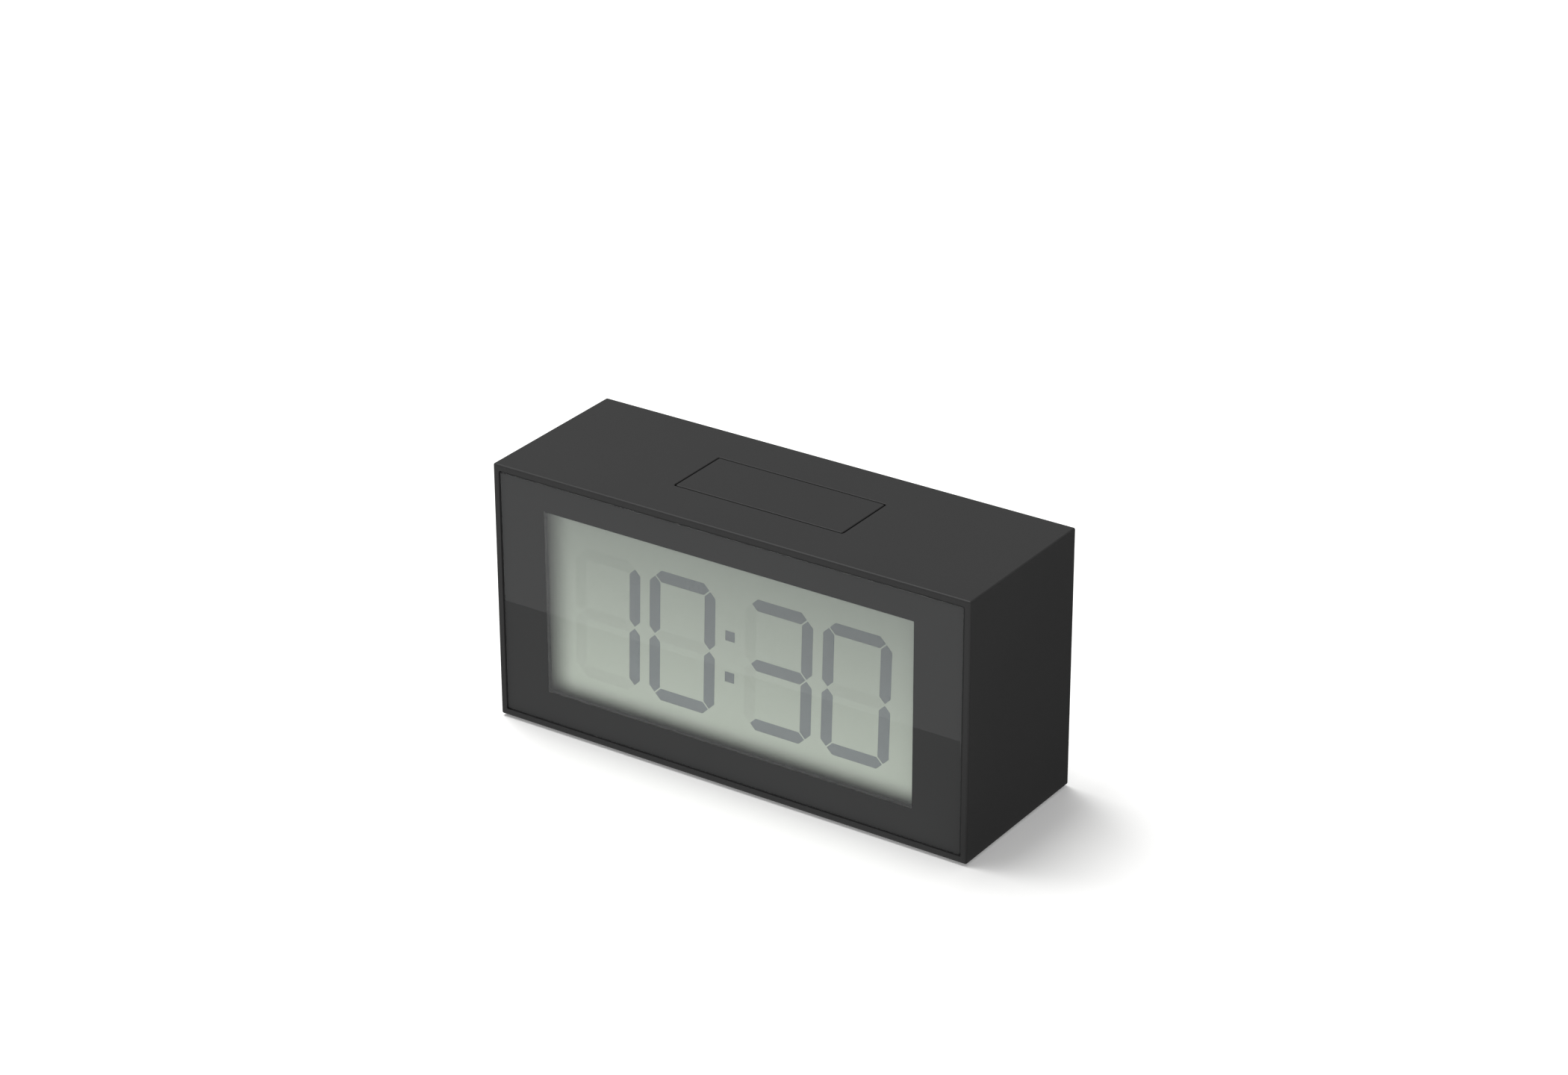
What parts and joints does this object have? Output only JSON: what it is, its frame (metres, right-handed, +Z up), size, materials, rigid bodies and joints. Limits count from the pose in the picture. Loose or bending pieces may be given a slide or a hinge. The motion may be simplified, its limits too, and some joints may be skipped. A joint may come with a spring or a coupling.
{
  "type": "digital alarm clock",
  "caption": "Small block-shaped desk alarm clock with a wide liquid crystal display behind a flush clear front, a flush snooze button on top, and keys and a battery door in the back.",
  "frame": {"origin": "on the table, under the middle of the whole clock", "axes": "+X to the right seen from the front, +Y from the front to the back, +Z up"},
  "size_m": [0.135, 0.0466, 0.0688],
  "materials": {
    "shell_plastic": "fine matt soft-touch coat",
    "key_plastic": "fine matt",
    "lens_acrylic": "clear, polished",
    "mask_black": "even black print",
    "polarizer_film": "clear, satin",
    "display_glass": "clear, polished",
    "display_field": "grey-green reflective film",
    "segment_dark": "dark grey",
    "segment_idle": "all but clear",
    "clear_acrylic": "clear",
    "frame_plastic": "white moulded",
    "bridge_plastic": "black moulded",
    "circuit_board": "green solder mask",
    "epoxy_black": "glossy drop",
    "tin_can": "plain tin plate",
    "chip_parts": "fired ceramic and resin",
    "lamp_white": "white reflector cup",
    "strip_rubber": "pink striped silicone",
    "foot_rubber": "matt black rubber",
    "screw_steel": "dark zinc plate",
    "spring_steel": "drawn wire",
    "contact_nickel": "nickel plated strip",
    "switch_black": "black moulded",
    "plunger_white": "white moulded",
    "cell_sleeve": "printed sleeve over steel",
    "lead_red": "red insulation",
    "lead_black": "black insulation",
    "ribbon_white": "flat flexible cable",
    "buzzer_brass": "plain disc"
  },
  "bodies": {
    "case": {"case_shell": "shell_plastic", "front_lens": "lens_acrylic", "lens_mask": "mask_black", "feet": "foot_rubber", "lcd_front_polarizer": "polarizer_film", "lcd_front_glass": "display_glass", "lcd_rear_glass": "display_glass", "lcd_reflector": "display_field", "lcd_shown_segments": "segment_dark", "lcd_idle_segments": "segment_idle", "light_guide": "clear_acrylic", "backlight_leds": "lamp_white", "display_frame": "frame_plastic", "contact_strip": "strip_rubber", "main_board": "circuit_board", "chip_cap": "epoxy_black", "quartz_crystal": "tin_can", "board_parts": "chip_parts", "snooze_bridge": "bridge_plastic", "snooze_springs": "spring_steel", "snooze_board": "circuit_board", "snooze_switch": "switch_black", "snooze_ribbon": "ribbon_white", "snooze_bridge_screws": "screw_steel", "snooze_board_screws": "screw_steel", "rear_cover": "shell_plastic", "battery_cells": "cell_sleeve", "battery_contacts": "contact_nickel", "battery_springs": "spring_steel", "positive_lead": "lead_red", "negative_lead": "lead_black", "key_board": "circuit_board", "key_ribbon": "ribbon_white", "key_switches": "switch_black", "alarm_switch": "tin_can", "buzzer_ring": "switch_black", "buzzer_disc": "buzzer_brass", "rear_cover_screws": "screw_steel", "display_frame_screws": "screw_steel", "main_board_screws": "screw_steel", "key_board_screws": "screw_steel"},
    "snooze": {"snooze_button": "key_plastic", "snooze_plunger": "plunger_white"},
    "alarm_slider": {"alarm_knob": "key_plastic", "alarm_lever": "switch_black"},
    "door": {"battery_door": "shell_plastic"},
    "time_button": {"time_key": "key_plastic", "time_key_plunger": "plunger_white"},
    "alarm_button": {"alarm_key": "key_plastic", "alarm_key_plunger": "plunger_white"},
    "minus_button": {"minus_key": "key_plastic", "minus_key_plunger": "plunger_white"},
    "plus_button": {"plus_key": "key_plastic", "plus_key_plunger": "plunger_white"}
  },
  "joints": [
    {"name": "snooze_press", "type": "slide", "parent": "case", "child": "snooze", "axis": [0, 0, -1], "range_m": [0, 0.0005], "stiffness_N_per_m": 600, "springref_m": -0.0008, "deforming": ["snooze_springs"]},
    {"name": "time_key_press", "type": "slide", "parent": "case", "child": "time_button", "axis": [0, -1, 0], "range_m": [0, 0.0004], "stiffness_N_per_m": 500, "springref_m": -0.0004},
    {"name": "alarm_key_press", "type": "slide", "parent": "case", "child": "alarm_button", "axis": [0, -1, 0], "range_m": [0, 0.0004], "stiffness_N_per_m": 500, "springref_m": -0.0004},
    {"name": "minus_key_press", "type": "slide", "parent": "case", "child": "minus_button", "axis": [0, -1, 0], "range_m": [0, 0.0004], "stiffness_N_per_m": 500, "springref_m": -0.0004},
    {"name": "plus_key_press", "type": "slide", "parent": "case", "child": "plus_button", "axis": [0, -1, 0], "range_m": [0, 0.0004], "stiffness_N_per_m": 500, "springref_m": -0.0004},
    {"name": "alarm_slide", "type": "slide", "parent": "case", "child": "alarm_slider", "axis": [1, 0, 0], "range_m": [0, 0.003]},
    {"name": "door_hinge", "type": "hinge", "parent": "case", "child": "door", "pos_m": [0.0285, 0.02235, 0.01865], "axis": [-1, 0, 0], "range_deg": [0, 95]}
  ]
}
